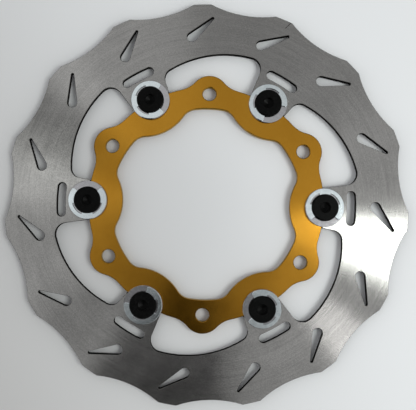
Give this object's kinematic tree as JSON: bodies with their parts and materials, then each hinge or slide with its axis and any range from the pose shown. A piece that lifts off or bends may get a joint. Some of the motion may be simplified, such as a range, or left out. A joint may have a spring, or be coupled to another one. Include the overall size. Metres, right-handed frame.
{
  "type": "floating brake disc rotor",
  "caption": "Round wave-edged brake disc: a slotted steel ring with inward ears, joined by clipped bobbins to a lobed, bolt-on carrier with an open centre.",
  "frame": {"origin": "centre of the hub bolt circle, on the carrier's back (mounting) face", "axes": "+Z along the disc's axis, out of the front where the retaining clips are; +X through the first bobbin"},
  "size_m": [0.3091, 0.309, 0.0124],
  "materials": {
    "stainless": "fine circular grind",
    "gold_anodised": "gold anodised, satin",
    "black_anodised": "hard black anodised",
    "zinc_plated": "bright zinc plated",
    "spring_steel": "plain spring steel"
  },
  "bodies": {
    "carrier": {"carrier": "gold_anodised"},
    "friction_ring": {"friction_ring": "stainless"},
    "bobbin_set_1": {"bobbin_1": "black_anodised", "wave_washer_1": "spring_steel", "flat_washer_1": "zinc_plated", "e_clip_1": "zinc_plated"},
    "bobbin_set_2": {"bobbin_2": "black_anodised", "wave_washer_2": "spring_steel", "flat_washer_2": "zinc_plated", "e_clip_2": "zinc_plated"},
    "bobbin_set_3": {"bobbin_3": "black_anodised", "wave_washer_3": "spring_steel", "flat_washer_3": "zinc_plated", "e_clip_3": "zinc_plated"},
    "bobbin_set_4": {"bobbin_4": "black_anodised", "wave_washer_4": "spring_steel", "flat_washer_4": "zinc_plated", "e_clip_4": "zinc_plated"},
    "bobbin_set_5": {"bobbin_5": "black_anodised", "wave_washer_5": "spring_steel", "flat_washer_5": "zinc_plated", "e_clip_5": "zinc_plated"},
    "bobbin_set_6": {"bobbin_6": "black_anodised", "wave_washer_6": "spring_steel", "flat_washer_6": "zinc_plated", "e_clip_6": "zinc_plated"}
  },
  "joints": [
    {"name": "ring_float", "type": "slide", "parent": "carrier", "child": "friction_ring", "axis": [0, 0, 1], "range_m": [0, 0.0003], "stiffness_N_per_m": 20000, "springref_m": -0.002, "deforming": ["wave_washer_1", "wave_washer_2", "wave_washer_3", "wave_washer_4", "wave_washer_5", "wave_washer_6"]},
    {"name": "bobbin_1_turn", "type": "hinge", "parent": "carrier", "child": "bobbin_set_1", "pos_m": [0.0906, 0, 0], "axis": [0, 0, 1], "continuous": true},
    {"name": "bobbin_2_turn", "type": "hinge", "parent": "carrier", "child": "bobbin_set_2", "pos_m": [0.0453, 0.07846, 0], "axis": [0, 0, 1], "continuous": true},
    {"name": "bobbin_3_turn", "type": "hinge", "parent": "carrier", "child": "bobbin_set_3", "pos_m": [-0.0453, 0.07846, 0], "axis": [0, 0, 1], "continuous": true},
    {"name": "bobbin_4_turn", "type": "hinge", "parent": "carrier", "child": "bobbin_set_4", "pos_m": [-0.0906, 0, 0], "axis": [0, 0, 1], "continuous": true},
    {"name": "bobbin_5_turn", "type": "hinge", "parent": "carrier", "child": "bobbin_set_5", "pos_m": [-0.0453, -0.07846, 0], "axis": [0, 0, 1], "continuous": true},
    {"name": "bobbin_6_turn", "type": "hinge", "parent": "carrier", "child": "bobbin_set_6", "pos_m": [0.0453, -0.07846, 0], "axis": [0, 0, 1], "continuous": true}
  ]
}
